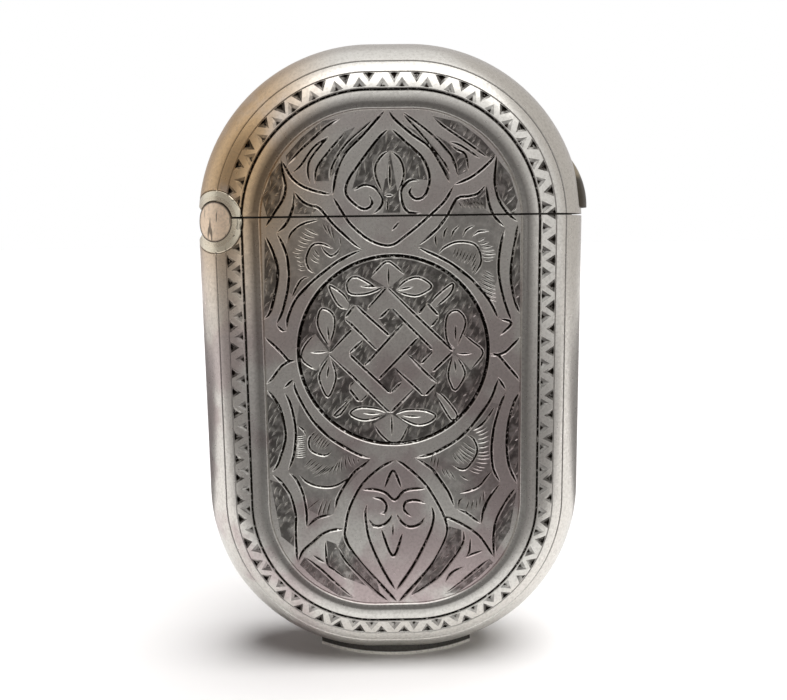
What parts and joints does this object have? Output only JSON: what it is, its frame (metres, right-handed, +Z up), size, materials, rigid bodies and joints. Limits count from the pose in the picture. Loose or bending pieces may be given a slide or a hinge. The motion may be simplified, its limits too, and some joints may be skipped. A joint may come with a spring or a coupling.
{
  "type": "vesta case",
  "caption": "Rounded flat silver match case with an engraved front, a side-hinged lid, a thumb lip and a ridged striker plate under the base.",
  "frame": {"origin": "middle of the striker plate's flat underside, on the surface that the case stands on", "axes": "+Z up, from the striker plate to the lid; -Y out of the engraved front; -X towards the hinge"},
  "size_m": [0.0314, 0.01, 0.0503],
  "materials": {
    "silver": "engraved, worn polish",
    "bright_silver": "polished",
    "tarnished_silver": "tarnished",
    "steel": "drawn wire"
  },
  "bodies": {
    "body": {"striker_plate": "silver", "body_front_shell": "silver", "body_back_shell": "silver", "mouth_bezel": "bright_silver", "body_hinge_bearer": "bright_silver", "body_knuckle_front": "tarnished_silver", "body_knuckle_middle": "tarnished_silver", "body_knuckle_rear": "tarnished_silver", "hinge_pin": "steel", "hinge_plug_front": "tarnished_silver", "hinge_plug_rear": "tarnished_silver"},
    "lid": {"lid_front_shell": "silver", "lid_back_shell": "silver", "lid_hinge_bearer": "bright_silver", "lid_knuckle_front": "tarnished_silver", "lid_knuckle_rear": "tarnished_silver", "thumb_piece": "bright_silver"}
  },
  "joints": [
    {"name": "lid_hinge", "type": "hinge", "parent": "body", "child": "lid", "pos_m": [-0.0136, 0, 0.03665], "axis": [0, -1, 0], "range_deg": [0, 70]}
  ]
}
